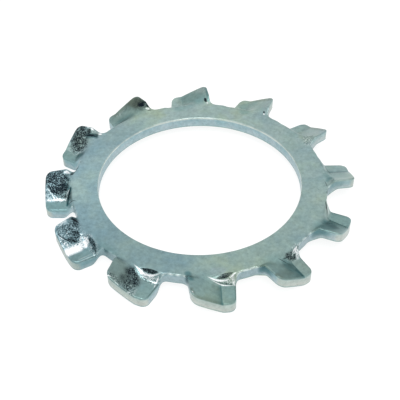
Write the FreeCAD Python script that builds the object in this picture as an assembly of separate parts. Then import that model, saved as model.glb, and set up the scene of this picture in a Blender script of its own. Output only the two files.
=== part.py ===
import FreeCAD, Part
import math
import os
from FreeCAD import Vector

# Lock washer with external teeth for a 16 mm bolt: one piece of sheet spring steel.
# The blank is a ring with radial teeth. The press then twists every tooth about its own
# radius: seen from above, the clockwise edge of a tooth stands a little over the ring, and the
# surface falls towards the counter-clockwise edge, where it ends in a narrow foot below the ring.
#
# Frame: +Z is the bore axis, Z = 0 is the plane that the feet rest on, and the middle of one
# tooth lies on +X. Lengths are millimetres and angles are degrees.

# Flat blank
SHEET_THICKNESS = 1.0
BORE_DIAMETER = 17.0
RING_DIAMETER = 21.3        # outside of the ring, between the teeth
TIP_DIAMETER = 25.85        # outside of the teeth
TOOTH_COUNT = 12
TOOTH_ROOT_WIDTH = 3.73     # where the tooth's sides leave the ring
TOOTH_TIP_WIDTH = 3.30      # at the outside of the teeth, before the corners are rounded
TIP_CORNER_RADIUS = 0.62
ROOT_FILLET_RADIUS = 0.52
EDGE_BREAK = 0.08           # slope that the punch leaves on the upper cut edges

# Twisted tooth
TWIST_ANGLE = 27.5          # slope of the tooth across its width
LEAD_RISE = 0.54            # height of the clockwise edge over the ring's face
FOOT_WIDTH = 0.94           # narrow flat along the counter-clockwise edge
FOOT_ANGLE = 4.5            # slope of that flat
WALL_INSET = 0.15           # the drawn wall starts this far inside the ring's outside
WALL_LENGTH = 0.95          # radial length in which the flat ring becomes a twisted tooth

# Places that follow from the sizes above. In a tooth, x runs outwards along its middle and
# u runs across it, counter-clockwise. Angles are in radians from here on.
bore_radius = BORE_DIAMETER / 2
ring_radius = RING_DIAMETER / 2
tip_radius = TIP_DIAMETER / 2
half_pitch = math.pi / TOOTH_COUNT
root_angle = math.asin(TOOTH_ROOT_WIDTH / 2 / ring_radius)
tip_angle = math.asin(TOOTH_TIP_WIDTH / 2 / tip_radius)
root_x = ring_radius * math.cos(root_angle)
tip_x = tip_radius * math.cos(tip_angle)
crease_u = TOOTH_TIP_WIDTH / 2 - FOOT_WIDTH
twist_slope = math.tan(math.radians(TWIST_ANGLE))
foot_slope = math.tan(math.radians(FOOT_ANGLE))
crease_height = LEAD_RISE - (TOOTH_TIP_WIDTH - FOOT_WIDTH) * twist_slope
wall_start = ring_radius - WALL_INSET
wall_end = wall_start + WALL_LENGTH
# The formed sheet is as wide as one tooth's share of the ring and reaches past the tip
strip_u = wall_start * math.tan(half_pitch)
past_tip = tip_radius + SHEET_THICKNESS
# The roundings of a tooth are limited by its side, and by the ring between it and the next
side_length = math.hypot(tip_x - root_x, (TOOTH_ROOT_WIDTH - TOOTH_TIP_WIDTH) / 2)
gap_length = ring_radius * (half_pitch - root_angle)
corner_radius = min(TIP_CORNER_RADIUS, side_length / 3)
fillet_radius = min(ROOT_FILLET_RADIUS, side_length / 3, gap_length)
edge_break = min(EDGE_BREAK, corner_radius / 5)


def half_width(x):
    """Half the tooth's width at the distance x from the bore axis."""
    share = (x - root_x) / (tip_x - root_x)
    return (TOOTH_ROOT_WIDTH + (TOOTH_TIP_WIDTH - TOOTH_ROOT_WIDTH) * share) / 2


def tooth_height(u):
    """Height of the twisted tooth over the ring, at u across the tooth."""
    if u <= crease_u:
        return crease_height + (crease_u - u) * twist_slope
    return crease_height - (u - crease_u) * foot_slope


def twist_share(x):
    """0 on the ring and 1 on the tooth, with an S curve along the drawn wall between them."""
    along = min(max((x - wall_start) / WALL_LENGTH, 0), 1)
    return along * along * (3 - 2 * along)


# The feet are lowest at their outer side, where the wall ends or the tooth does
foot_end = min(wall_end, tip_x)
ring_bottom = -twist_share(foot_end) * tooth_height(half_width(foot_end))
# The blank is tall enough above and below the ring to hold every bend
blank_low = -SHEET_THICKNESS
blank_height = ring_bottom + LEAD_RISE + 4 * SHEET_THICKNESS


def blank_sector():
    """One tooth with its share of the ring, cut straight through, with rounded corners."""
    outline = [arc(bore_radius, -half_pitch, half_pitch), arc(tip_radius, -tip_angle, tip_angle)]
    for side in (-1, 1):
        ends = (side * root_angle, side * half_pitch)
        outline.append(arc(ring_radius, min(ends), max(ends)))
        outline.append(line((ring_radius, side * root_angle), (tip_radius, side * tip_angle)))
        outline.append(line((bore_radius, side * half_pitch), (ring_radius, side * half_pitch)))
    outline = Part.Wire(Part.__sortEdges__(outline))
    blank = Part.Face(outline).extrude(Vector(0, 0, blank_height))
    blank = round_upright_edges(blank, tip_radius, corner_radius)
    return round_upright_edges(blank, ring_radius, fillet_radius)


def arc(radius, low_angle, high_angle):
    """Part of a circle round the bore axis."""
    circle = Part.Circle(Vector(0, 0, blank_low), Vector(0, 0, 1), radius)
    return circle.toShape(low_angle, high_angle)


def line(start, end):
    """Line between two points that are given as radius and angle."""
    points = []
    for radius, angle in (start, end):
        points.append(Vector(radius * math.cos(angle), radius * math.sin(angle), blank_low))
    return Part.makeLine(*points)


def round_upright_edges(solid, radius_from_axis, fillet_radius):
    """Round the tooth's upright edges at this distance from the bore axis."""
    edges = []
    for edge in solid.Edges:
        middle = edge.valueAt((edge.FirstParameter + edge.LastParameter) / 2)
        is_upright = edge.BoundBox.ZLength > blank_height / 2
        is_at_radius = abs(math.hypot(middle.x, middle.y) - radius_from_axis) < 1e-6
        if is_upright and is_at_radius and not on_sector_side(middle):
            edges.append(edge)
    return solid.makeFillet(fillet_radius, edges)


def on_sector_side(point):
    """Whether a point lies on one of the two planes where a sector meets its neighbours."""
    return abs(abs(math.atan2(point.y, point.x)) - half_pitch) < 1e-6


def formed_sheet():
    """The pressed sheet of one sector, wider and longer than the outline that is cut from it."""
    corners = [
        Vector(0, 0, ring_bottom),
        Vector(wall_start, -strip_u, ring_bottom),
        Vector(wall_start, strip_u, ring_bottom)]
    plate = thicken(Part.Face(Part.makePolygon(corners + corners[:1])))
    strips = []
    for low_u, high_u in ((-strip_u, crease_u), (crease_u, strip_u)):
        strips.append(drawn_wall(low_u, high_u))
        strips.append(straight_tooth(low_u, high_u))
    return plate.fuse(strips)


def thicken(underside):
    """The sheet over a face of its underside."""
    return underside.extrude(Vector(0, 0, SHEET_THICKNESS))


def underside_point(x, u, share):
    """Point of the underside, with the share of the twist that has been reached there."""
    return Vector(x, u, ring_bottom + share * tooth_height(u))


def drawn_wall(low_u, high_u):
    """Strip of the wall where the ring turns into the tooth. Both its ends run on smoothly."""
    surface = Part.BezierSurface()
    surface.increase(1, 3)
    for row, u in enumerate((low_u, high_u), 1):
        for column, share in enumerate((0, 0, 1, 1), 1):
            x = wall_start + WALL_LENGTH * (column - 1) / 3
            surface.setPole(row, column, underside_point(x, u, share))
    return thicken(surface.toShape())


def straight_tooth(low_u, high_u):
    """Flat strip of the twisted tooth, from the wall to past the tip."""
    corners = [
        underside_point(wall_end, low_u, 1),
        underside_point(wall_end, high_u, 1),
        underside_point(past_tip, high_u, 1),
        underside_point(past_tip, low_u, 1)]
    return thicken(Part.Face(Part.makePolygon(corners + corners[:1])))


def break_upper_edges(sector):
    """Slope the upper edges of the outline and the bore. The lower ones stay sharp."""
    edges = []
    for face in sector.Faces:
        normal = face.normalAt(*face.Surface.parameter(face.CenterOfMass))
        if abs(normal.z) > 1e-6 or on_sector_side(face.CenterOfMass):
            continue
        for edge in face.Edges:
            middle = edge.valueAt((edge.FirstParameter + edge.LastParameter) / 2)
            height = ring_bottom + twist_share(middle.x) * tooth_height(middle.y)
            if middle.z > height + SHEET_THICKNESS * 0.9:
                edges.append(edge)
    return sector.makeChamfer(edge_break, edges)


def lock_washer():
    """The washer: one sector for each tooth, joined into one solid."""
    sector = formed_sheet().common(blank_sector()).removeSplitter()
    sector = break_upper_edges(sector)
    sectors = []
    for index in range(TOOTH_COUNT):
        turned = sector.copy()
        turned.rotate(Vector(), Vector(0, 0, 1), index * 360 / TOOTH_COUNT)
        sectors.append(turned)
    return sectors[0].fuse(sectors[1:]).removeSplitter()


os.makedirs("parts", exist_ok=True)
lock_washer().exportStep("parts/lock_washer.step")
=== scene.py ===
import math

import bmesh
import bpy
import numpy as np
from mathutils import Matrix, Vector
from mathutils.geometry import delaunay_2d_cdt


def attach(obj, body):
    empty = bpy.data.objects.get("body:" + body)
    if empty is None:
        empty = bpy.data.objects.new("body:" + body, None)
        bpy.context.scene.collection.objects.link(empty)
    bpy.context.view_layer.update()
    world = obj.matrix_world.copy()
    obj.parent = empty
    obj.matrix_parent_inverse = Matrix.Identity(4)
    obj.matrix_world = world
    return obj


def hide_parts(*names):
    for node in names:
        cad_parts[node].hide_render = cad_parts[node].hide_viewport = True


# Toothed lock washer, zinc plated. The plain washer of the frame is replaced by one finer mesh
# from the same sizes, with rolled edges, steeper drawn walls and small differences between teeth.

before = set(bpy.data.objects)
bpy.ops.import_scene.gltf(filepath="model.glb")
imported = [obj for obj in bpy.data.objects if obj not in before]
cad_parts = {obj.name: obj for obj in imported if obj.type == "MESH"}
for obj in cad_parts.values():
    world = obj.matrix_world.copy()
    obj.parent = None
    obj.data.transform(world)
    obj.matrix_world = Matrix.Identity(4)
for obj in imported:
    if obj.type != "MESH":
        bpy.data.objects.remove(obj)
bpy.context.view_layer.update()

# Sizes of the washer in millimetres. They follow the part's source to a hundredth, a little
# inside it, so that the finer mesh stays in the same box.
MM = 0.001
THICKNESS = 1.0
BORE_RADIUS = 8.5
RING_RADIUS = 10.65
TIP_RADIUS = 12.922
TOOTH_COUNT = 12
ROOT_WIDTH = 3.73
TIP_WIDTH = 3.30
TIP_CORNER = 0.62
ROOT_FILLET = 0.53
TWIST_SLOPE = math.tan(math.radians(27.5))
LEAD_RISE = 0.535
FOOT_WIDTH = 0.94
FOOT_SLOPE = math.tan(math.radians(4.5))
RING_BOTTOM = 0.7724
RING_TOP = RING_BOTTOM + THICKNESS
HALF_PITCH = math.pi / TOOTH_COUNT
CREASE = TIP_WIDTH / 2 - FOOT_WIDTH

# A sector is one tooth with its share of the ring. In it x runs outwards along the middle of the
# tooth and u runs across it, counter-clockwise, from the raised lead edge to the foot. Tooth
# numbers go counter-clockwise from the one on +X. In the photo's view, tooth 9 is the nearest,
# tooth 6 points left and tooth 0 points right.

# Rolled edges
TOP_ROLL = 0.10
TRAIL_ROLL = 0.15
BORE_ROLL = 0.10
BOTTOM_ROLL = 0.05
ROLL_TURNS = np.radians([0, 22.5, 45, 67.5, 90])

# Drawn wall on the upper side, from x to x. Beside the crease, it lies further inwards.
WALL_START = 10.62
WALL_END = 11.2
FOOT_BEND = 0.07
FOOT_BOW = 0.24
FOOT_BOW_POWER = 1.3
LEAD_BOW = 0.05
START_BOW_SHARE = 0.35

# The softer wall on the underside, the crease, and where the twist fades out on the ring
LOWER_WALL = (10.48, 11.5)
CREASE_SOFTNESS = 0.03
STRIP_FADE = (1.95, 2.45)      # beside the tooth, between these values of u
RING_FADE = (9.15, 9.6)        # towards the bore, between these values of x

# Uneven surfaces: seed, wave length and height of the faces and of the torn band of the cuts
WAVE_COUNT = 14
FACE_SEED = 3
FACE_WAVE = 1.6
FACE_UNEVEN = 0.003
FACE_SINK = 0.006
TORN_SEED = 11
TORN_WAVE = 0.35
TORN_DEPTH = 0.018
TORN_START = (0.5, 0.75)       # shares of the way down the cut face
TORN_END = (0.9, 1.0)
FLOOR_GAP = 0.002              # the feet end this far over the floor

# Mesh fineness
SPACING = 0.105
WALL_ROWS = 8
EDGE_CLEARANCE = 0.045
WALL_COLUMNS = np.arange(10.27, 11.5, 0.07)
TOOTH_COLUMNS = np.arange(11.55, TIP_RADIUS, 0.115)
TOOTH_ROWS = np.arange(-2.1, 2.12, 0.1)
CREASE_BAND = 0.2              # the rows beside the crease lie this near, and move along with it
CREASE_SWAY = 0.75             # the other rows move less and less, up to this distance
CREASE_ROWS = CREASE + np.array([-0.15, -0.08, -0.035, 0, 0.035, 0.08, 0.15])
RING_GRID_END = 10.22          # the ring's grid leaves out the tooth, from this x on
RING_GRID_SIDE = 2.15          # and this far to both sides
SIDE_CLEARANCE = 0.006         # in radians, from the sides of the sector
INNER_DEPTH = 9.0              # depth of all points that lie inside the edge loops


def smooth(values, low, high):
    """0 below low and 1 above high, with an S curve between them."""
    share = np.clip((values - low) / (high - low), 0, 1)
    return share * share * (3 - 2 * share)


def tooth_turn(tooth):
    """Direction of a tooth from the axis, in radians."""
    return 2 * math.pi * tooth / TOOTH_COUNT


# Plan outline of one sector

root_angle = math.asin(ROOT_WIDTH / 2 / RING_RADIUS)
tip_angle = math.asin(TIP_WIDTH / 2 / TIP_RADIUS)
side_start = np.array([RING_RADIUS * math.cos(root_angle), ROOT_WIDTH / 2])
side_end = np.array([TIP_RADIUS * math.cos(tip_angle), TIP_WIDTH / 2])
side_direction = (side_end - side_start) / np.linalg.norm(side_end - side_start)
side_normal = np.array([-side_direction[1], side_direction[0]])


def centre_beside(offset, distance):
    """Point at this offset from the tooth's side line and this distance from the axis."""
    base = side_start + offset * side_normal
    along = float(base @ side_direction)
    reach = math.sqrt(distance ** 2 - float(base @ base) + along ** 2)
    return base + (reach - along) * side_direction


def arc_points(centre, radius, start, end, sign):
    """Points and outward normals on an arc. Sign is 1 on a convex arc and -1 on a hollow one."""
    steps = max(2, int(round(abs(end - start) * radius / SPACING)))
    angles = np.linspace(start, end, steps + 1)
    rays = np.stack([np.cos(angles), np.sin(angles)], 1)
    return centre + radius * rays, sign * rays


def outer_outline():
    """Points and outward normals of a sector's outside, from one sector side to the other."""
    axis = np.zeros(2)
    fillet_centre = centre_beside(ROOT_FILLET, RING_RADIUS + ROOT_FILLET)
    corner_centre = centre_beside(-TIP_CORNER, TIP_RADIUS - TIP_CORNER)
    fillet_turn = math.atan2(fillet_centre[1], fillet_centre[0])
    corner_turn = math.atan2(corner_centre[1], corner_centre[0])
    side_turn = math.atan2(side_normal[1], side_normal[0])
    fillet_end = fillet_centre - ROOT_FILLET * side_normal
    corner_start = corner_centre + TIP_CORNER * side_normal
    steps = int(round(np.linalg.norm(corner_start - fillet_end) / SPACING))
    along = np.linspace(0, 1, steps + 1)[:, None]
    straight = fillet_end + along * (corner_start - fillet_end)
    parts = [
        arc_points(axis, TIP_RADIUS, 0.0, corner_turn, 1),
        arc_points(corner_centre, TIP_CORNER, corner_turn, side_turn, 1),
        (straight[::-1], np.tile(side_normal, (len(straight), 1))),
        arc_points(fillet_centre, ROOT_FILLET, side_turn - math.pi, fillet_turn - math.pi, -1),
        arc_points(axis, RING_RADIUS, fillet_turn, HALF_PITCH, 1),
    ]
    points = [parts[0][0][:1]]
    normals = [parts[0][1][:1]]
    for part_points, part_normals in parts:
        points.append(part_points[1:])
        normals.append(part_normals[1:])
    points = np.concatenate(points)
    normals = np.concatenate(normals)
    mirrored_points = points[:0:-1] * (1, -1)
    mirrored_normals = normals[:0:-1] * (1, -1)
    return np.concatenate([mirrored_points, points]), np.concatenate([mirrored_normals, normals])


outline, outline_normals = outer_outline()
bore_steps = int(round(2 * HALF_PITCH * BORE_RADIUS / SPACING))
bore_angles = np.linspace(-HALF_PITCH, HALF_PITCH, bore_steps + 1)
bore_rays = np.stack([np.cos(bore_angles), np.sin(bore_angles)], 1)
bore_line = BORE_RADIUS * bore_rays

# The counter-clockwise side of a tooth is rolled more than the rest
on_trail = smooth(outline[:, 1], 1.45, 1.6) * smooth(outline[:, 0], 10.75, 11.1)
outline_roll = TOP_ROLL + (TRAIL_ROLL - TOP_ROLL) * on_trail
bore_roll = np.full(len(bore_line), BORE_ROLL)


# Plan mesh of one sector: loops along both rolled edges, and grids in between

def edge_loops():
    """Loops of points along the rolled edges, with their roll radius and their depth inside."""
    loops = []
    rolls = []
    depths = []
    for line, inward, roll in ((outline, -outline_normals, outline_roll),
                               (bore_line, bore_rays, bore_roll)):
        for turn in ROLL_TURNS:
            depth = roll * (1 - math.cos(turn))
            loops.append(line + depth[:, None] * inward)
            rolls.append(roll)
            depths.append(depth)
    return loops, rolls, depths


def side_points(low_radius, high_radius):
    """Points along both sides of the sector, between the innermost loops."""
    count = int(round((high_radius - low_radius) / SPACING))
    radii = np.linspace(low_radius, high_radius, count + 1)[1:-1]
    sides = []
    for angle in (-HALF_PITCH, HALF_PITCH):
        ray = np.array([math.cos(angle), math.sin(angle)])
        sides.append(radii[:, None] * ray)
    return sides


def ring_grid(low_radius, high_radius):
    """Rows of points on the ring, clear of the tooth's grid and of the sector's sides."""
    rows = []
    for row, radius in enumerate(np.arange(low_radius + SPACING, high_radius, SPACING)):
        count = int(round(2 * HALF_PITCH * radius / SPACING))
        shift = 0.25 if row % 2 == 0 else 0.75
        angles = -HALF_PITCH + 2 * HALF_PITCH * (np.arange(count) + shift) / count
        rows.append(np.stack([radius * np.cos(angles), radius * np.sin(angles)], 1))
    points = np.concatenate(rows)
    x = points[:, 0]
    u = points[:, 1]
    in_tooth = (x > RING_GRID_END) & (np.abs(u) < RING_GRID_SIDE)
    near_side = np.abs(np.abs(np.arctan2(u, x)) - HALF_PITCH) < SIDE_CLEARANCE
    return points[~in_tooth & ~near_side]


def tooth_grid():
    """Grid of points on the tooth, finer at its wall and at its crease."""
    columns = np.concatenate([WALL_COLUMNS, TOOTH_COLUMNS])
    rows = TOOTH_ROWS[np.abs(TOOTH_ROWS - CREASE) > CREASE_BAND]
    rows = np.sort(np.concatenate([rows, CREASE_ROWS]))
    return np.stack(np.meshgrid(columns, rows, indexing="ij"), -1).reshape(-1, 2)


def clear_of_edge(points):
    """The points that lie inside the outline and clear of its rolled edge."""
    gaps = np.sqrt(((points[:, None, :] - outline[None, :, :]) ** 2).sum(-1))
    nearest = gaps.argmin(1)
    away = np.einsum("ij,ij->i", points - outline[nearest], outline_normals[nearest])
    return points[(gaps.min(1) > outline_roll[nearest] + EDGE_CLEARANCE) & (away < 0)]


def triangulate(points, chains, border):
    """Triangles between the points that keep the chains of edges, all turned the same way."""
    edges = []
    for chain in chains:
        edges += list(zip(chain[:-1], chain[1:]))
    edges = sorted({tuple(sorted(edge)) for edge in edges})
    result = delaunay_2d_cdt([Vector(p) for p in points], edges, [border], 1, 1e-7)
    origin = [sources[0] if sources else -1 for sources in result[3]]
    if len(result[0]) != len(points) or min(origin) < 0:
        raise RuntimeError("the plan mesh gained points")
    triangles = np.array(origin)[np.array([list(face) for face in result[2]])]
    a = points[triangles[:, 0]]
    b = points[triangles[:, 1]]
    c = points[triangles[:, 2]]
    area = (b[:, 0] - a[:, 0]) * (c[:, 1] - a[:, 1]) - (b[:, 1] - a[:, 1]) * (c[:, 0] - a[:, 0])
    triangles[area < 0] = triangles[area < 0][:, ::-1]
    return triangles[np.abs(area) > 1e-9]


def sector_plan():
    """Points, triangles, roll radii and depths of one sector in plan, and its two edge lines."""
    loops, rolls, depths = edge_loops()
    low_radius = BORE_RADIUS + BORE_ROLL
    high_radius = RING_RADIUS - outline_roll[0]
    sides = side_points(low_radius, high_radius)
    interior = clear_of_edge(np.concatenate([ring_grid(low_radius, high_radius), tooth_grid()]))
    extra = np.concatenate(sides + [interior])
    points = np.concatenate(loops + [extra])
    rolls = np.concatenate(rolls + [np.full(len(extra), TOP_ROLL)])
    depths = np.concatenate(depths + [np.full(len(extra), INNER_DEPTH)])
    # Edges run along every loop and along both sides of the sector
    starts = np.cumsum([0] + [len(loop) for loop in loops + sides])
    chains = [list(range(start, end)) for start, end in zip(starts[:-1], starts[1:])]
    turns = len(ROLL_TURNS)
    outer_chains = chains[:turns]
    bore_chains = chains[turns:2 * turns]
    ends = []
    for end, side in ((0, chains[-2]), (-1, chains[-1])):
        inwards = [chain[end] for chain in bore_chains]
        outwards = [chain[end] for chain in reversed(outer_chains)]
        ends.append(inwards + side + outwards)
    low_side, high_side = ends
    outer = outer_chains[0]
    bore = bore_chains[0]
    border = outer + high_side[::-1][1:] + bore[::-1][1:] + low_side[1:-1]
    triangles = triangulate(points, outer_chains + bore_chains + ends, border)
    return points, triangles, rolls, depths, np.array(outer), np.array(bore)


plan, plan_triangles, plan_rolls, plan_depths, outer_ids, bore_ids = sector_plan()


# Small differences between the teeth: place and slant of the crease, how soft the upper bend of
# the wall is, where the wall ends, and height of the lead edge

CREASE_PLACES = CREASE + np.array(
    [0.0, 0.02, -0.01, 0.0, 0.03, 0.0, 0.08, 0.11, 0.03, -0.06, 0.03, -0.17])
CREASE_SLANTS = np.array([0.0, 0.0, 0.0, 0.0, 0.0, 0.0, 0.02, 0.0, 0.0, -0.04, -0.07, -0.28])
SLANT_START = 10.8
SLANT_MIDDLE = 11.8
WALL_BENDS = np.array([0.12, 0.16, 0.20, 0.22, 0.26, 0.28, 0.10, 0.10, 0.10, 0.10, 0.10, 0.10])
WALL_ENDS = WALL_END + np.array([0.0, 0.1, 0.1, 0.1, 0.3, 0.4, 0.0, 0.0, 0.0, 0.0, 0.0, 0.0])
LEAD_RISES = LEAD_RISE + np.array(
    [0.0, -0.01, 0.0, 0.005, -0.01, 0.0, -0.02, 0.0, -0.01, 0.005, 0.0, -0.01])


def crease_line(x, tooth):
    """Place of a tooth's crease across the tooth, at this distance from the axis."""
    return CREASE_PLACES[tooth] + CREASE_SLANTS[tooth] * (np.maximum(x, SLANT_START) - SLANT_MIDDLE)


def tooth_plan(tooth):
    """Plan points of one sector, with the rows beside the crease moved along with it."""
    moved = plan.copy()
    x = plan[:, 0]
    shift = crease_line(x, tooth) - CREASE
    near = 1 - smooth(np.abs(plan[:, 1] - CREASE), CREASE_BAND, CREASE_SWAY)
    moved[:, 1] += shift * near * smooth(x, 10.9, 11.2) * (plan_depths == INNER_DEPTH)
    return moved


def tooth_height(u, crease, lead):
    """Height over the ring across a twisted tooth, with a slightly rounded crease."""
    crease_height = lead - (TIP_WIDTH / 2 + crease) * TWIST_SLOPE
    past = u - crease
    blend = np.sqrt(past ** 2 + CREASE_SOFTNESS ** 2) - CREASE_SOFTNESS
    mean_slope = (TWIST_SLOPE + FOOT_SLOPE) / 2
    return crease_height - mean_slope * past - (FOOT_SLOPE - TWIST_SLOPE) / 2 * blend


def ramp(x, low, high, low_bend, high_bend):
    """0 below low and 1 above high, with a straight rise and a rounded bend at both ends."""
    rise_start = np.sqrt((x - low) ** 2 + low_bend ** 2) + (x - low)
    rise_end = np.sqrt((x - high) ** 2 + high_bend ** 2) + (x - high)
    return np.clip((rise_start - rise_end) / 2 / (high - low), 0, 1)


def top_share(x, u, crease, bend, end):
    """Share of the twist on the upper side. The wall is steep and its foot bows at the crease."""
    distance = np.abs(u - crease)
    bow = np.where(u > crease, -FOOT_BOW * distance ** FOOT_BOW_POWER, -LEAD_BOW * distance)
    start = WALL_START + START_BOW_SHARE * bow
    on_tooth = smooth(x, *RING_FADE) * (1 - smooth(np.abs(u), *STRIP_FADE))
    return ramp(x, start, end + bow, bend, FOOT_BEND) * on_tooth


def bottom_share(x, u):
    """Share of the twist on the underside."""
    return smooth(x, *LOWER_WALL) * (1 - smooth(np.abs(u), *STRIP_FADE))


def fine_waves(x, y, seed, length):
    """Smooth uneven surface of about unit height, with waves of about this length."""
    waves = np.random.default_rng(seed)
    total = np.zeros_like(x)
    for _ in range(WAVE_COUNT):
        turn = waves.uniform(0, 2 * math.pi)
        size = 2 * math.pi / (length * waves.uniform(0.7, 1.6))
        phase = waves.uniform(0, 2 * math.pi)
        total += np.sin((x * math.cos(turn) + y * math.sin(turn)) * size + phase)
    return total / math.sqrt(WAVE_COUNT)


def heights(points, tooth):
    """Upper and lower height of the sheet at plan points of one sector, before edge rolling."""
    x = points[:, 0]
    u = points[:, 1]
    crease = crease_line(x, tooth)
    turn = tooth_turn(tooth)
    world_x = x * math.cos(turn) - u * math.sin(turn)
    world_y = x * math.sin(turn) + u * math.cos(turn)
    upper = tooth_height(u, crease, LEAD_RISES[tooth])
    lower = np.maximum(tooth_height(u, CREASE, LEAD_RISE), -RING_BOTTOM + FLOOR_GAP)
    tops = RING_TOP + top_share(x, u, crease, WALL_BENDS[tooth], WALL_ENDS[tooth]) * upper
    tops -= FACE_SINK + FACE_UNEVEN * fine_waves(world_x, world_y, FACE_SEED, FACE_WAVE)
    bottoms = RING_BOTTOM + bottom_share(x, u) * lower
    return tops, bottoms


# Whole washer from twelve sectors

def roll_drop(depth, radius):
    """How far a rolled edge lies below the face, at this depth inside the outline."""
    inside = np.clip(radius - depth, 0, radius)
    return radius - np.sqrt(np.maximum(radius ** 2 - inside ** 2, 0))


def torn_depth(flat, share):
    """How deep a cut face is torn, at this share of the way down. Only its lower band is."""
    torn = smooth(share, *TORN_START) * (1 - smooth(share, *TORN_END))
    rough = 0.5 + 0.5 * fine_waves(flat[:, 0], flat[:, 1] + share, TORN_SEED, TORN_WAVE)
    return TORN_DEPTH * torn * np.clip(rough, 0, 1.5)


def strip_faces(upper, lower):
    """Triangles between two rows of points on a cut face."""
    first = np.stack([upper[:-1], upper[1:], lower[1:]], 1)
    second = np.stack([upper[:-1], lower[1:], lower[:-1]], 1)
    return np.concatenate([first, second])


def washer_mesh():
    """Points, triangles and masks of the whole washer."""
    all_points = []
    all_faces = []
    masks = {name: [] for name in MASKS}
    offset = 0
    count = len(plan)
    for tooth in range(TOOTH_COUNT):
        turn = tooth_turn(tooth)
        spin = np.array([[math.cos(turn), -math.sin(turn)], [math.sin(turn), math.cos(turn)]])
        places = tooth_plan(tooth)
        tops, bottoms = heights(places, tooth)
        top_z = tops - roll_drop(plan_depths, plan_rolls)
        bottom_z = bottoms + roll_drop(plan_depths, np.minimum(plan_rolls, BOTTOM_ROLL))
        flat = places @ spin.T
        all_points.append(np.column_stack([flat, top_z]))
        all_points.append(np.column_stack([flat, bottom_z]))
        all_faces.append(plan_triangles + offset)
        all_faces.append(plan_triangles[:, ::-1] + offset + count)
        add_masks(masks, places, tooth, "top")
        add_masks(masks, places, tooth, "bottom")
        base = offset + 2 * count
        for ids, part in ((outer_ids, "side"), (bore_ids, "bore")):
            inward = bore_rays if part == "bore" else -outline_normals
            rows = [ids + offset]
            for row in range(1, WALL_ROWS):
                share = row / WALL_ROWS
                depth = torn_depth(flat[ids], share)
                wall = (places[ids] + inward * depth[:, None]) @ spin.T
                z = top_z[ids] + (bottom_z[ids] - top_z[ids]) * share
                all_points.append(np.column_stack([wall, z]))
                add_masks(masks, places[ids], tooth, part, share)
                rows.append(base + np.arange(len(ids)))
                base += len(ids)
            rows.append(ids + offset + count)
            for upper, lower in zip(rows[:-1], rows[1:]):
                faces = strip_faces(upper, lower)
                all_faces.append(faces if part == "bore" else faces[:, ::-1])
        offset = base
    points = np.concatenate(all_points)
    faces = np.concatenate(all_faces)
    return points, faces, {name: np.concatenate(values) for name, values in masks.items()}


# Masks of the material. upper: the upper face; cut: the cut faces, and drop: how far down them;
# tip: cut faces that are as grey as at the tips; warm and dull: tints; pale: a paler colour, which
# is painted light on one side of the ring; then painted light and shade round the ring, teal
# painted shade on the feet and slopes, and dark-teal painted shade in creases, roots and gaps;
# edge: painted glints on the ring's rolled edge; then a painted highlight on the bore's rolled
# edge; last, painted dark reflections, painted highlights and painted glint speckle on the teeth.
MASKS = ("upper", "cut", "drop", "tip", "warm", "pale", "ring_light_and_shade", "teal_shade", "painted_shade", "dull", "edge",
         "rim_highlight", "dark_reflection", "painted_highlight", "glint_speckle")

# How strong the teal painted shade on the foot of each tooth is, how strong the dark-teal painted
# shade beside its crease, how dull its tip, and how strong the dark-teal painted shade of its root
# and of its sides, and how grey its sides are
FOOT_SHADE = (0.0, 0.1, 0.1, 0.0, 0.0, 0.6, 0.55, 0.30, 0.3, 0.45, 0.0, 0.5)
CREASE_SHADE = (0.5, 0.0, 0.0, 0.2, 0.0, 0.0, 0.0, 0.0, 0.1, 0.75, 0.6, 0.95)
TIP_DULL = (0.0, 0.3, 0.4, 0.5, 0.5, 0.0, 0.0, 0.0, 0.3, 0.6, 0.4, 0.1)
ROOT_SHADE = (0.35, 0.1, 0.1, 0.2, 0.2, 0.3, 0.5, 0.5, 0.7, 0.85, 0.8, 0.62)
SIDE_SHADE = (0.06, 0.0, 0.0, 0.0, 0.1, 0.24, 0.08, 0.12, 0.0, 0.0, 0.0, 0.0)
SIDE_GREY = (0.3, 0.5, 0.9, 0.9, 0.0, 0.0, 0.0, 0.0, 0.0, 0.0, 0.0, 0.2)

# How strong the dark-teal painted shade is on the cut face between the near teeth, and in the one
# darker gap between two teeth, with that gap's direction and width
GAP_SHADE = 0.24
DARK_GAP_SHADE = 0.56
DARK_GAP_TURN = 3.90
DARK_GAP_WIDTH = 0.13

# Directions from the axis, in radians, towards which the ring is painted palest and brightest, as
# painted light. The places painted darker, as painted shade, have a direction, a width and an
# amount each.
PALE_TURN = 1.1
LIT_TURN = 2.36
SHADED_PLACES = ((3.93, 0.45, 0.13), (2.4, 0.35, 0.11))
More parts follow.
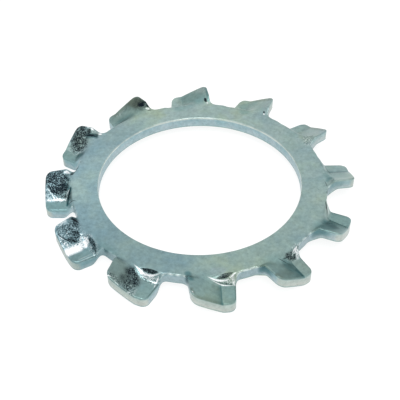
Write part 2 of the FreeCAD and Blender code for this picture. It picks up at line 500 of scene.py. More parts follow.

# Soft marks on single teeth, mostly painted shade, painted reflections and painted highlights, with
# some tints: mask, width, amount, and a line of points (along, across) the tooth
MARKS = {
    0: [("painted_shade", 0.20, 0.5, [(10.9, 0.2), (11.3, 0.6)]),
        ("painted_shade", 0.16, 0.4, [(10.6, -1.15), (10.85, -0.9)]),
        ("painted_shade", 0.18, 0.35, [(10.6, 1.0), (10.85, 1.3)]),
        ("teal_shade", 0.60, 0.6, [(11.1, -0.5), (12.1, -0.5)]),
        ("dull", 0.10, 0.5, [(12.35, -1.42), (12.75, -1.40)])],
    1: [("warm", 1.20, 1.05, [(11.3, -0.8), (12.4, 0.6)]),
        ("teal_shade", 0.90, 0.25, [(11.2, 0.3), (12.3, 0.4)]),
        ("dull", 0.30, 0.5, [(12.72, -1.2), (12.80, 0.5)]),
        ("glint_speckle", 0.34, 0.55, [(10.95, -0.95), (10.5, -1.5)])],
    2: [("teal_shade", 0.50, 0.5, [(10.3, 0.3), (11.8, 0.9), (12.3, 0.2)]),
        ("dull", 0.30, 0.4, [(12.6, -1.4), (12.75, -0.2)])],
    3: [("teal_shade", 0.70, 0.7, [(11.3, -0.9), (12.3, 0.2)]),
        ("dull", 0.80, 0.28, [(12.3, -1.0), (12.0, 0.4)]),
        ("painted_shade", 0.12, 0.6, [(12.3, -1.62), (10.8, -1.70)]),
        ("teal_shade", 0.50, 0.3, [(10.1, 1.2), (10.6, 0.2)])],
    4: [("dark_reflection", 0.34, 0.92, [(11.6, -1.28), (11.3, -1.5), (11.05, -1.72)]),
        ("dark_reflection", 0.60, 0.50, [(11.95, -1.2), (11.4, -1.25)]),
        ("dark_reflection", 0.45, 0.28, [(12.35, -0.5), (12.1, -1.0)]),
        ("dull", 0.35, 0.7, [(12.7, -0.9), (12.75, 0.9)]),
        ("dull", 0.60, 1.0, [(12.6, -1.0), (11.9, -1.2)]),
        ("dull", 1.20, 0.4, [(12.4, -0.4), (12.3, 0.6)]),
        ("teal_shade", 1.20, 0.5, [(11.8, -0.6), (11.9, 0.6)]),
        ("glint_speckle", 0.16, 0.35, [(12.3, -0.3), (12.42, 0.7)]),
        ("painted_shade", 0.38, 0.38, [(11.5, 0.85), (11.35, 0.5), (11.2, 0.1)])],
    5: [("dark_reflection", 0.52, 0.86, [(12.5, -1.5), (12.3, -0.4), (11.9, 0.15)]),
        ("dark_reflection", 0.50, 0.80, [(11.9, -1.0), (11.6, 0.0)]),
        ("glint_speckle", 0.70, 0.9, [(12.35, -1.2), (12.2, -0.4), (11.8, 0.2)]),
        ("dark_reflection", 0.20, 0.80, [(11.66, -1.5), (11.44, -1.05)]),
        ("dark_reflection", 0.17, 0.62, [(11.2, -1.12), (10.84, -1.32)]),
        ("dull", 0.30, 0.45, [(11.35, -1.45), (11.0, -1.5)]),
        ("glint_speckle", 0.40, 0.4, [(11.6, -1.3), (10.9, -1.35)]),
        ("dark_reflection", 0.30, 0.60, [(11.9, 0.15), (11.45, -0.1)]),
        ("glint_speckle", 0.35, 0.9, [(12.0, 0.15), (11.4, -0.1)]),
        ("painted_shade", 0.22, 0.6, [(11.5, -0.95), (10.85, -1.25)]),
        ("painted_shade", 0.28, 0.6, [(11.2, 1.1), (11.0, 1.15)]),
        ("dull", 0.50, 0.2, [(11.5, 1.2), (12.6, 1.1)])],
    6: [("dark_reflection", 0.66, 0.88, [(12.4, -1.1), (11.6, -1.05)]),
        ("dark_reflection", 0.45, 0.86, [(12.35, -0.55), (11.5, -0.4)]),
        ("dark_reflection", 0.46, 1.15, [(12.1, -0.28), (11.45, -0.35)]),
        ("dark_reflection", 0.30, 1.0, [(11.9, -0.1), (11.6, 0.05)]),
        ("dark_reflection", 0.30, 0.60, [(11.8, 0.15), (11.4, 0.35)]),
        ("glint_speckle", 0.75, 1.0, [(12.4, -1.05), (11.6, -1.0)]),
        ("glint_speckle", 0.60, 1.0, [(12.3, -0.3), (11.6, -0.1)]),
        ("painted_shade", 0.15, 0.5, [(11.2, -1.1), (10.95, -0.9)]),
        ("painted_shade", 0.20, 0.6, [(11.2, -0.5), (10.95, -0.1)]),
        ("painted_highlight", 0.10, 0.60, [(12.75, 0.60), (11.25, 0.66)]),
        ("painted_shade", 0.13, 1.0, [(10.8, 0.0), (11.05, 1.3)]),
        ("dark_reflection", 0.18, 0.3, [(12.7, 0.0), (12.4, 0.3)]),
        ("glint_speckle", 0.34, 1.0, [(12.7, 0.34), (11.2, 0.58)])],
    7: [("dark_reflection", 0.60, 0.45, [(12.2, -1.0), (11.5, -0.9)]),
        ("glint_speckle", 0.62, 1.0, [(12.3, -1.0), (11.5, -0.9)]),
        ("glint_speckle", 0.50, 1.0, [(12.5, -0.3), (11.4, -0.2)]),
        ("dark_reflection", 0.26, 0.85, [(12.2, -0.30), (11.75, -0.12), (11.35, -0.45)]),
        ("dark_reflection", 0.26, 0.75, [(11.4, -1.45), (10.95, -1.55)]),
        ("dark_reflection", 0.24, 0.70, [(11.1, -1.4), (11.15, -1.0)]),
        ("painted_highlight", 0.20, 0.45, [(12.3, -1.62), (11.4, -1.5)]),
        ("painted_highlight", 0.26, 0.97, [(12.72, 0.48), (11.75, 0.52)]),
        ("painted_highlight", 0.23, 0.66, [(11.75, 0.50), (11.15, 0.50)]),
        ("glint_speckle", 0.34, 1.0, [(11.7, 0.40), (11.0, 0.30)]),
        ("painted_highlight", 0.22, 0.34, [(11.35, -0.05), (10.98, 0.35)]),
        ("glint_speckle", 0.28, 0.9, [(11.40, 0.0), (10.95, 0.3)]),
        ("glint_speckle", 0.26, 0.75, [(10.82, 0.4), (10.95, 1.6)]),
        ("dull", 0.45, 0.25, [(12.7, 1.3), (12.3, 1.2)])],
    8: [("dark_reflection", 0.48, 0.82, [(11.35, -0.28), (11.8, 0.10)]),
        ("glint_speckle", 0.48, 0.7, [(11.35, -0.2), (11.9, 0.1)]),
        ("dull", 0.80, 0.5, [(11.6, -1.2), (12.3, -0.9)]),
        ("dark_reflection", 0.35, 0.60, [(12.1, -0.5), (12.5, 0.1)]),
        ("dark_reflection", 0.13, 0.35, [(12.5, -1.35), (12.68, -0.5), (12.7, 0.3)]),
        ("glint_speckle", 0.20, 0.7, [(12.5, -1.35), (12.68, -0.5), (12.7, 0.3)]),
        ("glint_speckle", 0.40, 1.0, [(12.3, 0.0), (12.65, 0.3)]),
        ("painted_highlight", 0.20, 0.34, [(11.00, 0.3), (10.98, 1.3)]),
        ("glint_speckle", 0.26, 0.8, [(10.95, 0.3), (11.0, 1.6)])],
    9: [("pale", 0.35, 0.9, [(10.25, 0.3), (10.35, 0.9)]),
        ("teal_shade", 1.0, 0.3, [(11.4, -0.8), (12.5, -0.4)]),
        ("glint_speckle", 0.16, 1.0, [(10.82, 1.40), (10.98, 1.6)]),
        ("glint_speckle", 0.12, 0.8, [(10.95, 0.6), (11.0, 1.5)]),
        ("painted_highlight", 0.12, 0.35, [(10.75, 1.60), (11.05, 1.68)]),
        ("painted_shade", 0.24, 0.65, [(10.3, -1.72), (11.2, -1.60)]),
        ("dull", 0.12, 0.5, [(12.2, -1.55), (12.5, -1.48)])],
    10: [("dark_reflection", 0.22, 0.75, [(10.84, 0.75), (10.88, 1.2)]),
         ("glint_speckle", 0.25, 0.6, [(10.84, 0.7), (10.95, 1.3)]),
         ("glint_speckle", 0.28, 0.9, [(10.8, 1.35), (10.6, 1.75)]),
         ("painted_highlight", 0.14, 0.40, [(11.0, 1.50), (10.82, 1.68)]),
         ("teal_shade", 1.20, 0.45, [(11.3, -0.8), (12.5, -0.5)]),
         ("painted_shade", 0.42, 0.46, [(11.3, 0.30), (11.8, 0.20)]),
         ("painted_shade", 0.15, 0.75, [(12.1, 0.52), (12.75, 0.55)]),
         ("dull", 0.45, 0.20, [(11.6, 1.2), (12.5, 1.2)]),
         ("dull", 0.40, 0.35, [(12.4, -1.1), (12.2, -0.4)]),
         ("dull", 0.18, 0.6, [(12.3, -1.55), (12.6, -1.40)])],
    11: [("teal_shade", 0.90, 0.70, [(11.4, -1.1), (12.1, -0.6)]),
         ("painted_shade", 0.52, 0.80, [(11.4, -0.05), (11.75, -0.6)]),
         ("painted_shade", 0.40, 0.50, [(11.3, -1.2), (11.8, -1.1)]),
         ("dark_reflection", 0.30, 0.22, [(11.5, -0.3), (12.05, -0.65)]),
         ("pale", 0.45, 0.9, [(12.65, -0.9), (12.7, -0.1)])],
}


def line_distance(x, u, line):
    """Distance from each point to a line of points."""
    nearest = np.full(len(x), np.inf)
    for (x0, u0), (x1, u1) in zip(line[:-1], line[1:]):
        step_x = x1 - x0
        step_u = u1 - u0
        share = ((x - x0) * step_x + (u - u0) * step_u) / (step_x ** 2 + step_u ** 2)
        share = np.clip(share, 0, 1)
        gap = np.hypot(x - x0 - share * step_x, u - u0 - share * step_u)
        nearest = np.minimum(nearest, gap)
    return nearest


def towards(turn, middle, width):
    """1 in one direction from the axis, and 0 well away from it."""
    return np.exp(-((turn - middle) / width) ** 2)


def plate_masks(turn):
    """Masks that change slowly round the whole washer. The others start at 0."""
    values = {name: np.zeros(len(turn)) for name in MASKS}
    values["warm"] = 0.50 + 0.2 * np.cos(turn) + 0.12 * np.sin(turn) - 0.22 * np.cos(2 * turn)
    # Painted light: the ring paler towards one side
    values["pale"] = 0.22 + 0.22 * np.cos(turn - PALE_TURN)
    # Painted light and shade: the ring brighter towards one side and darker in the shaded places
    values["ring_light_and_shade"] = 1 + 0.08 * np.cos(turn - LIT_TURN)
    for middle, width, amount in SHADED_PLACES:
        values["ring_light_and_shade"] -= amount * towards(turn, middle, width)
    return values


def side_masks(values, x, u, turn, tooth, drop):
    """Sets the masks of the cut face between and round the teeth."""
    radius = np.hypot(x, u)
    on_tooth = smooth(radius, 10.8, 11.2)
    on_near_side = 0.5 - 0.5 * np.sin(turn)
    in_gap = (1 - smooth(radius, 10.8, 11.3)) * on_near_side
    lead_root = smooth(-u, 1.2, 1.7) * smooth(x, 10.35, 10.75) * (1 - smooth(x, 11.5, 12.3))
    values["drop"] = drop + 0.5 * (1 - on_tooth)
    values["tip"] = np.maximum(smooth(radius, 12.35, 12.7), SIDE_GREY[tooth] * on_tooth)
    # Dark-teal painted shade: at the lead roots, on the sides of some teeth, on the cut face
    # between the teeth towards -Y, and in the one darker gap
    shades = [
        ROOT_SHADE[tooth] * lead_root * (1 - smooth(drop, 0.5, 1.0)),
        SIDE_SHADE[tooth] * on_tooth,
        GAP_SHADE * in_gap,
        DARK_GAP_SHADE * towards(turn, DARK_GAP_TURN, DARK_GAP_WIDTH),
    ]
    values["painted_shade"] = np.maximum.reduce(shades)


def upper_masks(values, x, u, turn, tooth):
    """Sets the masks of the upper face."""
    radius = np.hypot(x, u)
    crease = crease_line(x, tooth)
    on_tooth = smooth(x, 10.9, 11.3)
    on_ring = (radius > 9) & (radius < 10.9)
    foot = on_tooth * smooth(u, crease - 0.04, crease + 0.04)
    beside = np.exp(-np.abs(u - crease) / 0.28) * (u < crease + 0.03) * on_tooth
    near_edge = np.clip(1 - plan_depths / plan_rolls, 0, 1)
    in_dark_gap = towards(turn, DARK_GAP_TURN, DARK_GAP_WIDTH)
    values["upper"] += 1
    # Painted shade: teal on the feet and on the ring by the one darker gap, and dark teal beside
    # the creases
    values["teal_shade"] = np.maximum(FOOT_SHADE[tooth] * foot, 0.45 * in_dark_gap * smooth(radius, 9.9, 10.6))
    values["painted_shade"] = CREASE_SHADE[tooth] * beside
    values["dull"] = TIP_DULL[tooth] * smooth(radius, 12.62, 12.88) * (u < crease)
    # Painted glints along the ring's rolled edge, fewer by the darker gap, and a painted highlight
    # along the bore's rolled edge
    values["edge"] = near_edge * np.where(on_ring, 1 - 0.9 * in_dark_gap, 0.0)
    values["rim_highlight"] = near_edge ** 2 * (radius < 9)
    for kind, width, amount, line in MARKS[tooth]:
        gap = line_distance(x, u, line)
        spot = amount * (1 - smooth(gap, 0.5 * width, 1.5 * width))
        values[kind] = np.maximum(values[kind], spot)


def add_masks(masks, points, tooth, part, drop=0.0):
    """Adds the masks of one part of a sector. Drop is the share of the way down a cut face."""
    x = points[:, 0]
    u = points[:, 1]
    turn = tooth_turn(tooth) + np.arctan2(u, x)
    values = plate_masks(turn)
    if part == "top":
        upper_masks(values, x, u, turn, tooth)
    if part in ("side", "bore"):
        values["cut"] += 1
    if part == "side":
        side_masks(values, x, u, turn, tooth, drop)
    if part == "bore":
        # A faint dark-teal painted shade on the bore's wall
        values["painted_shade"] += 0.06
        values["drop"] += 0.4 + 0.35 * drop
    for name in MASKS:
        masks[name].append(values[name])


points, faces, masks = washer_mesh()

mesh = bpy.data.meshes.new("washer_detail")
mesh.from_pydata((points * MM).tolist(), [], faces.tolist())
for name, values in masks.items():
    layer = mesh.attributes.new(name, "FLOAT", "POINT")
    layer.data.foreach_set("value", values.astype(np.float32))
washer = bpy.data.objects.new("washer_detail", mesh)
bpy.context.scene.collection.objects.link(washer)

# The sectors are joined where they meet, and the smooth shading runs over the joints
joined = bmesh.new()
joined.from_mesh(mesh)
bmesh.ops.remove_doubles(joined, verts=joined.verts, dist=2e-7)
for face in joined.faces:
    face.smooth = True
joined.to_mesh(mesh)
joined.free()
mesh.update()
print("washer triangles", len(mesh.polygons), "points", len(mesh.vertices))


# Material nodes

NODE_STEP = 260
NODES_PER_COLUMN = 10


def new_node(tree, kind):
    """Adds a node at the next free place of a grid."""
    column, row = divmod(len(tree.nodes), NODES_PER_COLUMN)
    node = tree.nodes.new(kind)
    node.location = (column * NODE_STEP, -row * NODE_STEP)
    return node


def mask_node(tree, name):
    """Attribute node that reads one mask of the mesh."""
    node = new_node(tree, "ShaderNodeAttribute")
    node.attribute_name = name
    return node.outputs["Fac"]


def noise(tree, coordinates, scale, detail, roughness):
    """Noise of this scale in features per metre."""
    node = new_node(tree, "ShaderNodeTexNoise")
    node.inputs["Scale"].default_value = scale
    node.inputs["Detail"].default_value = detail
    node.inputs["Roughness"].default_value = roughness
    tree.links.new(coordinates, node.inputs["Vector"])
    return node.outputs["Fac"]


def stretch(tree, value, low, high, out_low=0.0, out_high=1.0):
    """Maps the range from low to high onto 0 to 1, or onto another range."""
    node = new_node(tree, "ShaderNodeMapRange")
    node.clamp = True
    node.inputs["From Min"].default_value = low
    node.inputs["From Max"].default_value = high
    node.inputs["To Min"].default_value = out_low
    node.inputs["To Max"].default_value = out_high
    tree.links.new(value, node.inputs["Value"])
    return node.outputs["Result"]


def calculate(tree, operation, first, second):
    """Math node on two values, each a socket or a number."""
    node = new_node(tree, "ShaderNodeMath")
    node.operation = operation
    for socket, value in zip(node.inputs, (first, second)):
        if isinstance(value, (int, float)):
            socket.default_value = value
        else:
            tree.links.new(value, socket)
    return node.outputs[0]


def screen_colour(name):
    """Linear colour of a colour of the plate, which is given as seen on screen."""
    linear = []
    for value in COLOURS[name]:
        value /= 255
        linear.append(value / 12.92 if value <= 0.04045 else ((value + 0.055) / 1.055) ** 2.4)
    return tuple(linear)


def tint(tree, share, first, second, blend="MIX"):
    """Mixes two colours by a share. Each is a socket or the name of a colour of the plate."""
    node = new_node(tree, "ShaderNodeMix")
    node.data_type = "RGBA"
    node.blend_type = blend
    node.clamp_factor = True
    for key, value in ((0, share), (6, first), (7, second)):
        socket = node.inputs[key]
        if isinstance(value, str):
            socket.default_value = (*screen_colour(value), 1.0)
        elif isinstance(value, (int, float)):
            socket.default_value = value
        else:
            tree.links.new(value, socket)
    return node.outputs[2]


def mask_tint(tree, mask, base, colour):
    """Mixes a colour in where a mask of the mesh says so."""
    return tint(tree, mask_node(tree, mask), base, colour)


# Zinc plate

# Colours as seen on screen, from 0 to 255
COLOURS = {
    "cool": (138, 169, 177),
    "warm": (157, 178, 166),
    # Paler colour, painted light on one side of the ring
    "pale": (164, 181, 185),
    "green": (150, 166, 144),
    # Teal painted shade
    "teal_shade": (112, 150, 150),
    "dull": (110, 124, 112),
    # Dark-teal painted shade
    "painted_shade": (44, 102, 108),
    "burnished cut": (146, 177, 183),
    "torn cut": (172, 190, 195),
    "burnished tip": (175, 189, 183),
    "torn tip": (186, 193, 187),
    "pit": (70, 92, 92),
    # Painted glint on the ring's rolled edge and painted highlight on the bore's
    "edge glint": (216, 228, 227),
    "rim highlight": (214, 223, 217),
    # Painted dark reflection and painted highlight on the teeth
    "black reflection": (22, 32, 38),
    "white highlight": (252, 253, 254),
}

# Crisp painted reflections and painted highlights, each the area between two arcs over one chord:
# tooth, tone from -1 for a black reflection to 1 for a white highlight, both ends of the chord
# (along, across) the tooth, and both arcs' heights over it, to the left of the way from the first
# end to the second
REFLECTION_LEAVES = [
    (9, 0.95, (10.72, -0.28), (10.80, 1.35), -0.22, -0.12),
    (9, 0.80, (10.90, -0.10), (11.10, 1.75), -0.17, -0.11),
    (9, -0.82, (10.81, 0.34), (10.46, 1.66), -0.16, 0.12),
    (9, 0.85, (10.72, 1.40), (10.45, 1.88), -0.05, 0.02),
    (9, -0.50, (10.73, -0.08), (10.58, 0.78), -0.05, 0.06),
    (9, -0.50, (12.20, -1.62), (12.34, -1.56), -0.03, 0.03),
    (9, 0.80, (12.42, -1.57), (12.54, -1.48), -0.035, 0.035),
    (9, -0.35, (10.98, 0.20), (11.05, 1.60), -0.10, 0.03),
    (8, -0.92, (10.70, 0.22), (10.52, 1.62), -0.20, 0.08),
    (8, 0.85, (10.66, -0.42), (10.92, 0.60), -0.07, 0.02),
    (8, 0.85, (10.88, 0.05), (10.50, 1.80), -0.23, -0.165),
    (8, 0.90, (10.70, 1.68), (11.15, 1.50), 0.00, 0.08),
    (8, 0.70, (11.02, 1.60), (11.52, 1.66), -0.02, 0.03),
    (8, -0.45, (11.02, 0.15), (11.12, 1.35), -0.20, -0.03),
    (8, 0.85, (12.74, -1.55), (12.66, -1.20), -0.03, 0.04),
    (10, 0.95, (10.88, 1.00), (10.52, 1.82), -0.09, 0.07),
    (10, -0.75, (10.70, -0.20), (11.30, 0.42), -0.05, 0.02),
    (10, -0.60, (10.86, 0.05), (10.84, 0.75), -0.06, 0.02),
    (7, -0.72, (10.79, 0.14), (10.94, 1.70), -0.09, 0.21),
    (7, 0.12, (12.40, 1.64), (11.05, 1.70), -0.05, 0.05),
    (7, 0.18, (12.50, 1.46), (11.15, 1.50), -0.04, 0.04),
    (7, 0.70, (12.88, -0.98), (12.15, -0.02), -0.07, -0.01),
    (7, -0.60, (12.80, -1.02), (12.08, -0.04), -0.08, -0.02),
    (7, -0.80, (11.27, -1.62), (10.76, -1.10), 0.00, 0.18),
    (6, 0.75, (12.78, -0.42), (12.00, 0.76), -0.05, 0.05),
    (6, 0.70, (12.38, 0.00), (11.72, 0.76), -0.03, 0.03),
    (6, 0.70, (12.66, -0.76), (12.28, -0.18), -0.03, 0.03),
    (6, -0.80, (12.66, -0.55), (11.90, 0.66), -0.03, 0.03),
    (6, 0.80, (11.18, 0.38), (10.80, -0.08), -0.03, 0.03),
    (6, -0.85, (10.72, -0.30), (11.05, 1.34), -0.12, 0.03),
    (6, -0.70, (11.00, 1.34), (10.20, 1.68), -0.04, 0.05),
    (6, -0.85, (10.82, -1.36), (10.48, -1.95), -0.08, 0.08),
    (6, -0.70, (10.50, -1.85), (10.12, -2.75), -0.03, 0.06),
    (6, -0.55, (11.27, -1.15), (10.92, -0.82), -0.02, 0.03),
    (6, 0.95, (11.36, -1.48), (10.84, -1.56), -0.12, 0.14),
    (5, 0.95, (11.90, -1.62), (11.20, -1.64), -0.07, 0.07),
    (5, 0.95, (10.78, -1.58), (10.51, -1.79), -0.08, 0.08),
    (5, 0.70, (11.95, -0.73), (11.52, -0.76), -0.06, 0.06),
    (5, -0.40, (11.65, -0.96), (10.72, -1.30), -0.07, 0.07),
    (4, 0.98, (10.92, -1.42), (10.64, -1.74), -0.10, 0.10),
    (4, -0.70, (10.64, -1.48), (10.45, -1.80), -0.05, 0.05),
    (4, -0.40, (11.72, -1.14), (11.12, -1.44), -0.14, 0.16),
    (3, -0.95, (11.08, -1.36), (10.64, -1.50), -0.12, 0.12),
    (3, 0.80, (10.62, -1.52), (10.50, -1.66), -0.05, 0.05),
    (2, -0.95, (10.80, -1.37), (10.64, -1.60), -0.075, 0.075),
    (2, 0.90, (10.60, -1.46), (10.50, -1.62), -0.06, 0.06),
    (1, -0.45, (10.84, -0.70), (10.46, -1.50), -0.05, 0.02),
    (1, -0.40, (10.50, -1.45), (10.40, -2.25), 0.00, 0.05),
    (1, 0.50, (10.72, -1.00), (10.50, -1.30), -0.04, 0.04),
    (1, 0.40, (10.66, -1.75), (10.40, -1.95), -0.03, 0.03),
    (0, -0.55, (10.36, -1.10), (10.46, -1.90), -0.02, 0.05),
    (11, -0.90, (10.92, 1.04), (10.38, 1.98), -0.06, 0.06),
    (11, 0.50, (11.05, 1.15), (10.62, 1.75), -0.03, 0.02),
    (11, -0.50, (10.98, 0.80), (10.80, 1.20), -0.03, 0.05),
]

LEAF_SOFTNESS = 0.02
FLATTEST_BOW = 0.004


def reflection_leaf(tree, plane, tooth, start, end, low, high):
    """Share of a painted reflection or highlight: 1 between its two arcs and 0 outside, with a soft
    border.
    """
    spin = Matrix.Rotation(tooth_turn(tooth), 2)
    first = spin @ Vector(start)
    last = spin @ Vector(end)
    middle = (first + last) / 2
    chord = (last - first).length
    left = Vector((first.y - last.y, last.x - first.x)) / chord
    shares = []
    for bow, keeps_below in ((high, True), (low, False)):
        bow = bow if abs(bow) > FLATTEST_BOW else FLATTEST_BOW
        radius = (chord ** 2 / 4 + bow ** 2) / (2 * abs(bow))
        centre = middle + left * (bow - math.copysign(radius, bow))
        far = new_node(tree, "ShaderNodeVectorMath")
        far.operation = "DISTANCE"
        tree.links.new(plane, far.inputs[0])
        far.inputs[1].default_value = (centre.x, centre.y, 0)
        near_share, far_share = (1.0, 0.0) if keeps_below == (bow > 0) else (0.0, 1.0)
        shares.append(stretch(tree, far.outputs["Value"], radius - LEAF_SOFTNESS,
                              radius + LEAF_SOFTNESS, near_share, far_share))
    return calculate(tree, "MULTIPLY", *shares)


def face_colour(tree, clouds, patches):
    """Colour of the faces: cool and warm clouds, greener on one side of the ring and paler there as
    painted light, painted light and shade round the ring, teal painted shade and a dull tint.
    """
    cloudy = stretch(tree, clouds, 0.3, 0.7, -0.5, 0.5)
    warm = calculate(tree, "ADD", mask_node(tree, "warm"), cloudy)
    base = tint(tree, warm, "cool", "warm")
    patchy = stretch(tree, patches, 0.36, 0.62, 0.1, 1.0)
    pale = calculate(tree, "MULTIPLY", mask_node(tree, "pale"), patchy)
    base = tint(tree, pale, base, "pale")
    base = tint(tree, stretch(tree, warm, 0.85, 1.4), base, "green")
    # Painted light and shade round the ring
    base = tint(tree, 1.0, base, mask_node(tree, "ring_light_and_shade"), "MULTIPLY")
    base = tint(tree, 1.0, base, stretch(tree, clouds, 0.32, 0.68, 0.92, 1.08), "MULTIPLY")
    # Teal painted shade on the feet and slopes
    base = mask_tint(tree, "teal_shade", base, "teal_shade")
    return mask_tint(tree, "dull", base, "dull")


def cut_colour(tree, patches):
    """Colour of the cut faces: a burnished band above and a paler torn band below."""
    uneven = stretch(tree, patches, 0.3, 0.7, -0.25, 0.25)
    band = calculate(tree, "ADD", mask_node(tree, "drop"), uneven)
    band = stretch(tree, band, 0.3, 0.75)
    side = tint(tree, band, "burnished cut", "torn cut")
    tip = tint(tree, band, "burnished tip", "torn tip")
    return tint(tree, mask_node(tree, "tip"), side, tip)


def painted_edge_glints(tree, base, grains, patches):
    """Painted glints in dots along the ring's rolled edges, and a painted highlight in stretches
    round the bore's rolled edge.
    """
    dots = stretch(tree, grains, 0.46, 0.6, 0.1, 1.0)
    glint = calculate(tree, "MULTIPLY", mask_node(tree, "edge"), dots)
    base = tint(tree, glint, base, "edge glint")
    stretches = stretch(tree, patches, 0.42, 0.56, 0.45, 1.0)
    highlighted = calculate(tree, "MULTIPLY", mask_node(tree, "rim_highlight"), stretches)
    return tint(tree, highlighted, base, "rim highlight")


def painted_reflections(tree, coordinates, grains, fine):
    """Painted dark reflections and painted highlights on the teeth, from -1 for black to 1 for
    white:
    leaves, marks, and glint speckle.
    """
    plane = new_node(tree, "ShaderNodeVectorMath")
    plane.operation = "MULTIPLY"
    plane.inputs[1].default_value = (1 / MM, 1 / MM, 0)
    tree.links.new(coordinates, plane.inputs[0])
    tone = calculate(tree, "SUBTRACT", mask_node(tree, "painted_highlight"), mask_node(tree, "dark_reflection"))
    for tooth, amount, start, end, low, high in REFLECTION_LEAVES:
        spot = reflection_leaf(tree, plane.outputs[0], tooth, start, end, low, high)
        spot = calculate(tree, "MULTIPLY", spot, amount)
        tone = calculate(tree, "ADD", tone, spot)
    strength = calculate(tree, "ABSOLUTE", tone, 0.0)
    strength = calculate(tree, "MULTIPLY", strength, 0.4)
    strength = calculate(tree, "MAXIMUM", strength, mask_node(tree, "glint_speckle"))
    small = stretch(tree, fine, 0.3, 0.7, -0.78, 0.78)
    large = stretch(tree, grains, 0.35, 0.65, -0.26, 0.26)
    grain = calculate(tree, "ADD", small, large)
    grain = calculate(tree, "MULTIPLY", grain, strength)
    tone = calculate(tree, "ADD", tone, grain)
    return calculate(tree, "MULTIPLY", tone, mask_node(tree, "upper"))


def zinc_material():
    """Zinc plate with a blue-green cast: clouds, pits, painted shade, painted glints, highlights
    and reflections, two-band cut faces.
    """
    material = bpy.data.materials.new("zinc_plate")
    material.use_nodes = True
    tree = material.node_tree
    coordinates = new_node(tree, "ShaderNodeTexCoord").outputs["Object"]
    clouds = noise(tree, coordinates, 260, 4, 0.6)
    patches = noise(tree, coordinates, 700, 4, 0.65)
    grains = noise(tree, coordinates, 3200, 3, 0.65)
    pits = noise(tree, coordinates, 3600, 1, 0.5)
    fine = noise(tree, coordinates, 11500, 2, 0.5)
    base = face_colour(tree, clouds, patches)
    base = tint(tree, mask_node(tree, "cut"), base, cut_colour(tree, patches))
    # Dark-teal painted shade
    base = mask_tint(tree, "painted_shade", base, "painted_shade")
    base = tint(tree, 1.0, base, stretch(tree, grains, 0.3, 0.7, 0.84, 1.16), "MULTIPLY")
    base = tint(tree, stretch(tree, pits, 0.68, 0.76, 0.0, 0.2), base, "pit")
    base = painted_edge_glints(tree, base, grains, patches)
    # Painted dark reflections and painted highlights on the teeth
    tone = painted_reflections(tree, coordinates, grains, fine)
    base = tint(tree, stretch(tree, tone, 0.0, -1.0), base, "black reflection")
    base = tint(tree, stretch(tree, tone, 0.0, 0.9), base, "white highlight")
    rough = stretch(tree, grains, 0.3, 0.7, 0.28, 0.42)
    bump = new_node(tree, "ShaderNodeBump")
    bump.inputs["Strength"].default_value = 0.35
    bump.inputs["Distance"].default_value = 0.00002
    tree.links.new(grains, bump.inputs["Height"])
    shader = tree.nodes["Principled BSDF"]
    shader.inputs["Metallic"].default_value = 1.0
    tree.links.new(base, shader.inputs["Base Color"])
    tree.links.new(rough, shader.inputs["Roughness"])
    tree.links.new(bump.outputs["Normal"], shader.inputs["Normal"])
    last_column = bump.location.x
    shader.location = (last_column + 2 * NODE_STEP, 0)
    tree.nodes["Material Output"].location = (last_column + 4 * NODE_STEP, 0)
    return material


mesh.materials.append(zinc_material())
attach(washer, "root")
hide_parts("lock_washer")


# Pale floor, which shows white to the camera and keeps a faint shadow

FLOOR_HALF = 1.5
FLOOR_Z = -0.00001


def floor_material():
    """White floor: a little of it is lit, and the rest glows for the camera and reflections."""
    material = bpy.data.materials.new("floor")
    material.use_nodes = True
    tree = material.node_tree
    tree.nodes.clear()
    path = new_node(tree, "ShaderNodeLightPath").outputs
    seen = calculate(tree, "ADD", path["Is Camera Ray"], path["Is Glossy Ray"])
    seen = calculate(tree, "ADD", seen, path["Is Transmission Ray"])
    seen = calculate(tree, "MINIMUM", seen, 1.0)
    lit = new_node(tree, "ShaderNodeBsdfDiffuse")
    lit.inputs["Color"].default_value = (0.22, 0.22, 0.22, 1)
    pale = new_node(tree, "ShaderNodeBsdfDiffuse")
    pale.inputs["Color"].default_value = (0.8, 0.8, 0.8, 1)
    glow = new_node(tree, "ShaderNodeEmission")
    glow.inputs["Color"].default_value = (1, 1, 1, 1)
    glow.inputs["Strength"].default_value = 0.86
    both = new_node(tree, "ShaderNodeAddShader")
    tree.links.new(lit.outputs[0], both.inputs[0])
    tree.links.new(glow.outputs[0], both.inputs[1])
    mix = new_node(tree, "ShaderNodeMixShader")
    tree.links.new(seen, mix.inputs[0])
    tree.links.new(pale.outputs[0], mix.inputs[1])
    tree.links.new(both.outputs[0], mix.inputs[2])
    output = new_node(tree, "ShaderNodeOutputMaterial")
    tree.links.new(mix.outputs[0], output.inputs["Surface"])
    return material


floor_mesh = bpy.data.meshes.new("floor")
floor_corners = []
for x, y in ((-FLOOR_HALF, -FLOOR_HALF), (FLOOR_HALF, -FLOOR_HALF),
             (FLOOR_HALF, FLOOR_HALF), (-FLOOR_HALF, FLOOR_HALF)):
    floor_corners.append((x, y, FLOOR_Z))
floor_mesh.from_pydata(floor_corners, [], [(0, 1, 2, 3)])
floor_mesh.materials.append(floor_material())
floor = bpy.data.objects.new("floor", floor_mesh)
bpy.context.scene.collection.objects.link(floor)


# Soft studio light: a pale sky that is brighter towards the top, and one soft lamp

KEY_AZIMUTH = math.radians(-96)
KEY_ELEVATION = math.radians(62)
KEY_DISTANCE = 0.4
KEY_SIZE = 0.16
KEY_RADIANCE = 5

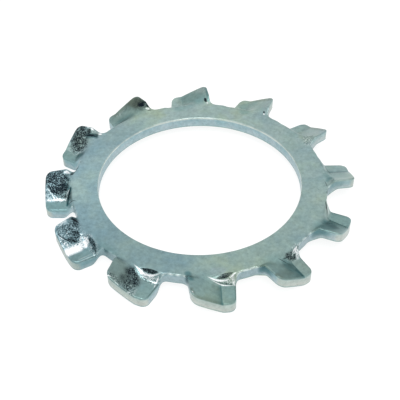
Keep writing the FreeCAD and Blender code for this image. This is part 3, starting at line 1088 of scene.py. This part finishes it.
world = bpy.data.worlds.new("studio")
bpy.context.scene.world = world
world.use_nodes = True
sky = world.node_tree
background = sky.nodes["Background"]
background.inputs["Color"].default_value = (0.97, 0.99, 1.0, 1)
direction = new_node(sky, "ShaderNodeSeparateXYZ")
sky.links.new(new_node(sky, "ShaderNodeTexCoord").outputs["Generated"], direction.inputs[0])
sky_strength = stretch(sky, direction.outputs["Z"], 0.0, 0.6, 0.72, 0.98)
sky.links.new(sky_strength, background.inputs["Strength"])


def outwards(azimuth, elevation):
    """Direction of length 1 from the washer, seen at these angles."""
    return Vector((math.cos(azimuth) * math.cos(elevation), math.sin(azimuth) * math.cos(elevation),
                   math.sin(elevation)))


key_light = bpy.data.lights.new("key", "AREA")
key_light.shape = "SQUARE"
key_light.size = KEY_SIZE
key_light.energy = KEY_RADIANCE * math.pi * KEY_SIZE * KEY_SIZE
key = bpy.data.objects.new("key", key_light)
key_direction = outwards(KEY_AZIMUTH, KEY_ELEVATION)
key.location = key_direction * KEY_DISTANCE
key.rotation_mode = "QUATERNION"
key.rotation_quaternion = key_direction.to_track_quat("Z", "Y")
bpy.context.scene.collection.objects.link(key)


# Camera at the photograph's viewing angle. The photo is square, and the camera looks at the
# middle of the ring's underside.

CAMERA_AZIMUTH = math.radians(-94.166)
CAMERA_ELEVATION = math.radians(42.563)
CAMERA_ROLL = math.radians(0.760)
CAMERA_DISTANCE = 0.0678
PHOTO_PIXELS = 400
FOCAL_PIXELS = 800.61
SENSOR_WIDTH = 36

camera_data = bpy.data.cameras.new("camera")
camera_data.sensor_width = SENSOR_WIDTH
camera_data.lens = FOCAL_PIXELS / PHOTO_PIXELS * SENSOR_WIDTH
camera_data.shift_x = 0.00062
camera_data.shift_y = -0.02886
camera_data.clip_start = 0.001
camera_data.clip_end = 10
camera = bpy.data.objects.new("camera", camera_data)
bpy.context.scene.collection.objects.link(camera)
away = outwards(CAMERA_AZIMUTH, CAMERA_ELEVATION)
camera.location = Vector((0, 0, RING_BOTTOM * MM)) + away * CAMERA_DISTANCE
turn = away.to_track_quat("Z", "Y").to_matrix() @ Matrix.Rotation(-CAMERA_ROLL, 3, "Z")
camera.rotation_mode = "QUATERNION"
camera.rotation_quaternion = turn.to_quaternion()
bpy.context.scene.camera = camera

bpy.context.scene.view_settings.view_transform = "Standard"
